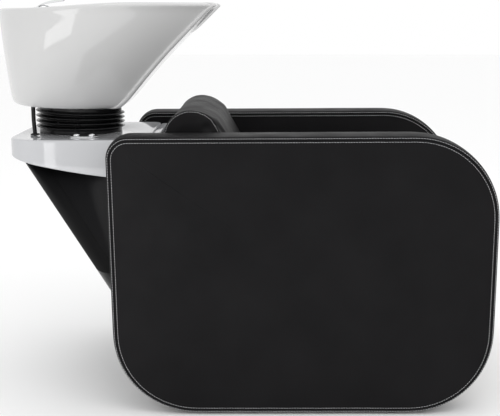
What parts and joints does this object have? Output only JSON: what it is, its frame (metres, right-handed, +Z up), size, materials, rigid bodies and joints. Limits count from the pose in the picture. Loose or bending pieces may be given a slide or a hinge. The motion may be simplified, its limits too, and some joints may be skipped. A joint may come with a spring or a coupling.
{
  "type": "salon backwash unit",
  "caption": "Upholstered shampoo seat between two padded arm panels, joined to a leaning pedestal that carries a tilting ceramic wash basin on rubber bellows.",
  "frame": {"origin": "on the floor, under the middle of the unit's box", "axes": "+X towards the sitter's feet, +Y to the sitter's left, +Z up"},
  "size_m": [1.174, 0.664, 0.953],
  "materials": {
    "black_vinyl": "black vinyl upholstery, fine grain, soft sheen",
    "plywood": "bare birch plywood",
    "black_steel": "black powder coat",
    "zinc": "zinc plated",
    "chrome": "polished chrome",
    "white_ceramic": "white glaze",
    "white_gloss": "white gloss moulding",
    "black_laminate": "black satin laminate",
    "black_rubber": "black rubber, slightly glossy",
    "grey_plastic": "dark grey plastic"
  },
  "bodies": {
    "base": {"arm_bolt_far_back": "zinc", "arm_bolt_far_front": "zinc", "arm_bolt_near_back": "zinc", "arm_bolt_near_front": "zinc", "arm_core_far": "plywood", "arm_core_near": "plywood", "arm_cover_far": "black_vinyl", "arm_cover_near": "black_vinyl", "arm_glide_far_back": "grey_plastic", "arm_glide_far_front": "grey_plastic", "arm_glide_near_back": "grey_plastic", "arm_glide_near_front": "grey_plastic", "arm_inner_pad_far": "black_vinyl", "arm_inner_pad_near": "black_vinyl", "backrest_board": "plywood", "backrest_bracket_far": "black_steel", "backrest_bracket_near": "black_steel", "backrest_cushion": "black_vinyl", "base_plate": "black_steel", "bellows": "black_rubber", "bellows_ring": "grey_plastic", "bracket_bolt_far": "zinc", "bracket_bolt_near": "zinc", "column_post_far": "black_steel", "column_post_near": "black_steel", "column_top_plate": "black_steel", "console_shell": "white_gloss", "console_trim": "white_gloss", "cover_cap_back": "chrome", "cover_cap_front": "chrome", "cover_plate": "chrome", "front_panel": "black_laminate", "front_rail": "black_steel", "hose_grommet": "black_rubber", "pedestal_back": "black_laminate", "pedestal_front": "black_laminate", "rear_rail": "black_steel", "seat_board": "plywood", "seat_cushion": "black_vinyl", "seat_side_plate_far": "black_steel", "seat_side_plate_near": "black_steel", "shower_hose": "black_rubber", "supply_hose_cold": "black_rubber", "supply_hose_hot": "black_rubber", "tilt_bracket": "black_steel", "waste_hose": "grey_plastic"},
    "basin": {"basin": "white_ceramic", "basin_carrier": "zinc", "pivot_pin_near": "zinc", "pivot_pin_far": "zinc", "drain_flange": "chrome", "drain_tailpiece": "grey_plastic", "mixer_body": "chrome", "shower_cradle": "grey_plastic"},
    "mixer_head": {"mixer_cartridge": "chrome"},
    "mixer_lever": {"mixer_lever": "chrome"},
    "hand_shower": {"hand_shower": "chrome"},
    "hair_strainer": {"hair_strainer": "chrome"}
  },
  "joints": [
    {"name": "basin_tilt", "type": "hinge", "parent": "base", "child": "basin", "pos_m": [-0.4, 0, 0.655], "axis": [0, 1, 0], "range_deg": [-6, 12], "deforming": ["bellows", "shower_hose", "waste_hose", "supply_hose_hot", "supply_hose_cold"]},
    {"name": "mixer_swing", "type": "hinge", "parent": "basin", "child": "mixer_head", "pos_m": [-0.48, 0, 0.914], "axis": [0, 0, 1], "range_deg": [-45, 45]},
    {"name": "lever_lift", "type": "hinge", "parent": "mixer_head", "child": "mixer_lever", "pos_m": [-0.498, 0, 0.923], "axis": [0, -1, 0], "range_deg": [0, 22]},
    {"name": "hand_shower_out", "type": "slide", "parent": "basin", "child": "hand_shower", "axis": [0, 0, 1], "range_m": [0, 0.15]},
    {"name": "strainer_out", "type": "slide", "parent": "basin", "child": "hair_strainer", "axis": [0, 0, 1], "range_m": [0, 0.12]}
  ]
}
